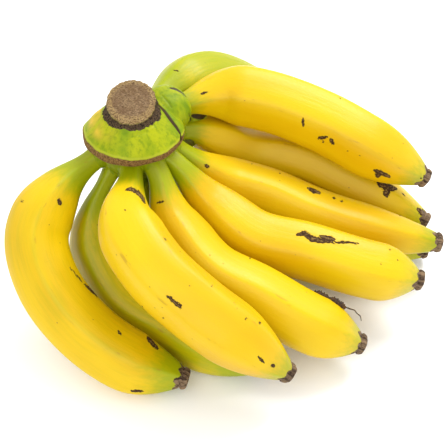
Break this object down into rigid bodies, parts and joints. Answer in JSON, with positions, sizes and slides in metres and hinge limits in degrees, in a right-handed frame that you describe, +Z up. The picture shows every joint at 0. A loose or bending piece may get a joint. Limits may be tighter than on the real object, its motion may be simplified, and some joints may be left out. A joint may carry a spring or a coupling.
{
  "type": "hand of bananas",
  "caption": "Hand of twelve ripe yellow bananas with green-tinged necks on one cut crown, lying on its lower fingers.",
  "frame": {"origin": "on the surface that the hand lies on, under the middle of its box", "axes": "+Z up, +X from the crown towards the finger tips, -Y towards the outermost front finger"},
  "size_m": [0.252, 0.2411, 0.1284],
  "materials": {
    "skin_ripe": "satin",
    "skin_turning": "satin",
    "crown_skin": "satin"
  },
  "bodies": {
    "root": {"crown": "crown_skin", "banana_01": "skin_ripe", "banana_02": "skin_ripe", "banana_03": "skin_ripe", "banana_04": "skin_ripe", "banana_05": "skin_ripe", "banana_06": "skin_ripe", "banana_07": "skin_turning", "banana_08": "skin_turning", "banana_09": "skin_turning", "banana_10": "skin_turning", "banana_11": "skin_ripe", "banana_12": "skin_turning"}
  },
  "joints": []
}
